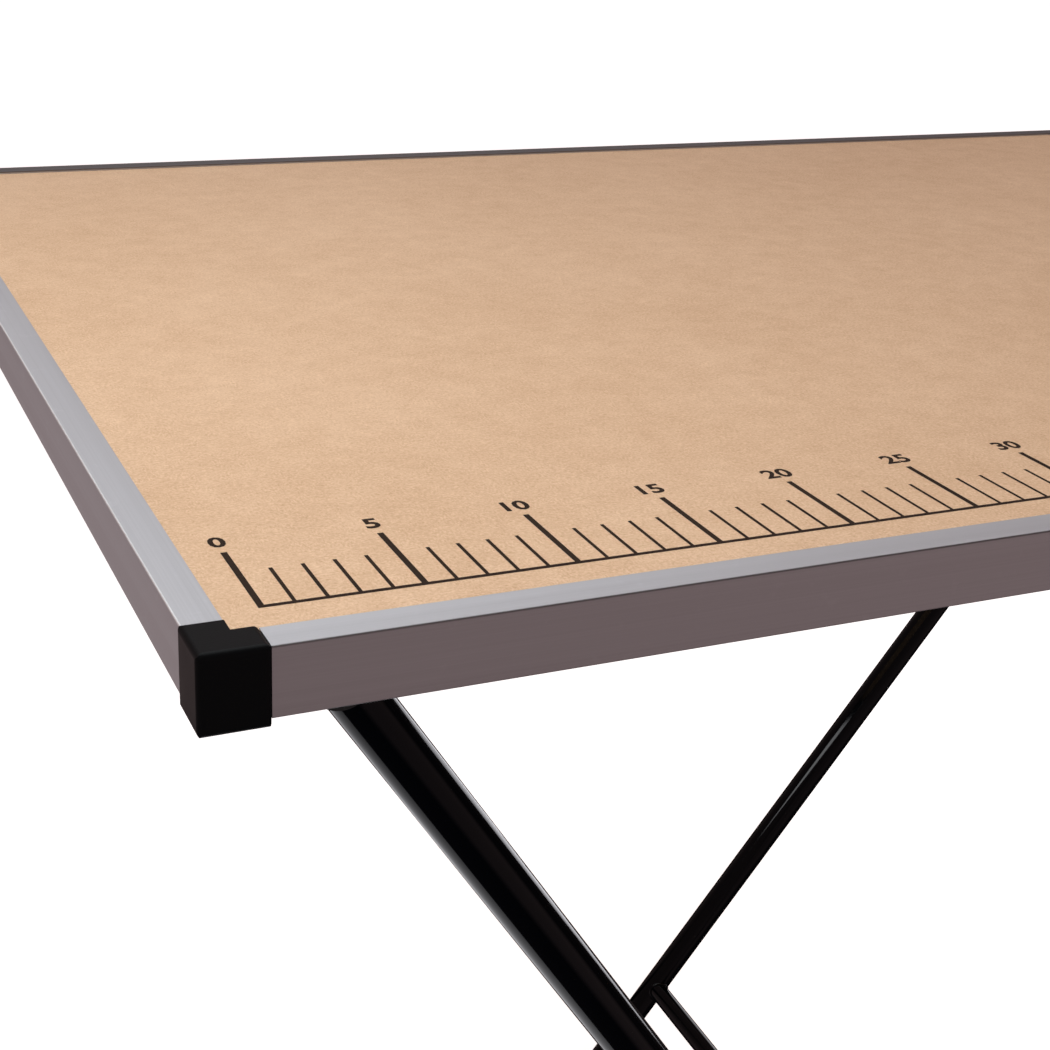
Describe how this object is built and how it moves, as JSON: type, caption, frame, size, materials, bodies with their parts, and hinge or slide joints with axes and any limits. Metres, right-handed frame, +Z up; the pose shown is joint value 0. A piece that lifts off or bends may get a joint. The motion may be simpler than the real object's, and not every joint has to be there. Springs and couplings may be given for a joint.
{
  "type": "pasting table",
  "caption": "Folding pasting table: framed fibreboard panels hinged end to end on crossing tubular leg frames, with a carrying handle and latch hooks.",
  "frame": {"origin": "on the floor under the middle of the whole table", "axes": "+X along the table from the ruled left panel to the right one, +Y from the front rail to the back, +Z up"},
  "size_m": [2.0066, 0.6518, 0.743],
  "materials": {
    "fibreboard": "smooth pressed face, matt",
    "rail_aluminium": "dull mill-finish extrusion, faint lengthwise lines",
    "cap_plastic": "black, satin gloss",
    "block_plastic": "black, fine moulded texture",
    "brace_wood": "planed softwood",
    "leg_paint": "black gloss powder coat",
    "foot_rubber": "matt black",
    "plated_steel": "bright zinc plate",
    "grip_plastic": "black, satin"
  },
  "bodies": {
    "left_panel": {"left_board": "fibreboard", "left_front_rail": "rail_aluminium", "left_back_rail": "rail_aluminium", "left_end_rail": "rail_aluminium", "left_joint_rail": "rail_aluminium", "left_corner_caps": "cap_plastic", "left_pivot_blocks": "block_plastic", "left_leg_clips": "block_plastic", "left_brace": "brace_wood", "left_hinge_leaves": "plated_steel", "hinge_pins": "plated_steel", "handle_lugs": "block_plastic", "latch_rivets": "plated_steel"},
    "left_outer_frame": {"left_outer_axle": "leg_paint", "left_outer_legs": "leg_paint", "left_outer_feet": "foot_rubber"},
    "left_inner_frame": {"left_inner_axle": "leg_paint", "left_inner_legs": "leg_paint", "left_inner_bar": "leg_paint", "left_inner_feet": "foot_rubber"},
    "right_panel": {"right_board": "fibreboard", "right_front_rail": "rail_aluminium", "right_back_rail": "rail_aluminium", "right_end_rail": "rail_aluminium", "right_joint_rail": "rail_aluminium", "right_corner_caps": "cap_plastic", "right_pivot_blocks": "block_plastic", "right_leg_clips": "block_plastic", "right_brace": "brace_wood", "right_hinge_leaves": "plated_steel", "latch_studs": "plated_steel"},
    "right_outer_frame": {"right_outer_axle": "leg_paint", "right_outer_legs": "leg_paint", "right_outer_feet": "foot_rubber"},
    "right_inner_frame": {"right_inner_axle": "leg_paint", "right_inner_legs": "leg_paint", "right_inner_bar": "leg_paint", "right_inner_feet": "foot_rubber"},
    "carry_handle": {"handle_bail": "plated_steel", "handle_grip": "grip_plastic"},
    "outer_latch": {"latch_hook_outer": "plated_steel"},
    "inner_latch": {"latch_hook_inner": "plated_steel"}
  },
  "joints": [
    {"name": "panel_fold", "type": "hinge", "parent": "left_panel", "child": "right_panel", "pos_m": [0, 0, 0.74085], "axis": [0, -1, 0], "range_deg": [0, 180]},
    {"name": "left_outer_legs_fold", "type": "hinge", "parent": "left_panel", "child": "left_outer_frame", "pos_m": [-0.9615, 0, 0.7253], "axis": [0, -1, 0], "range_deg": [0, 56.44]},
    {"name": "left_inner_legs_fold", "type": "hinge", "parent": "left_panel", "child": "left_inner_frame", "pos_m": [-0.0325, 0, 0.7253], "axis": [0, 1, 0], "range_deg": [0, 53.58]},
    {"name": "right_outer_legs_fold", "type": "hinge", "parent": "right_panel", "child": "right_outer_frame", "pos_m": [0.9615, 0, 0.7253], "axis": [0, 1, 0], "range_deg": [0, 56.44]},
    {"name": "right_inner_legs_fold", "type": "hinge", "parent": "right_panel", "child": "right_inner_frame", "pos_m": [0.0325, 0, 0.7253], "axis": [0, -1, 0], "range_deg": [0, 53.58]},
    {"name": "handle_swing", "type": "hinge", "parent": "left_panel", "child": "carry_handle", "pos_m": [-0.5025, -0.3184, 0.729], "axis": [-1, 0, 0], "range_deg": [0, 110]},
    {"name": "outer_latch_turn", "type": "hinge", "parent": "left_panel", "child": "outer_latch", "pos_m": [-0.6205, -0.31, 0.729], "axis": [0, -1, 0], "range_deg": [0, 180]},
    {"name": "inner_latch_turn", "type": "hinge", "parent": "left_panel", "child": "inner_latch", "pos_m": [-0.3845, -0.31, 0.729], "axis": [0, -1, 0], "range_deg": [0, 180]}
  ]
}
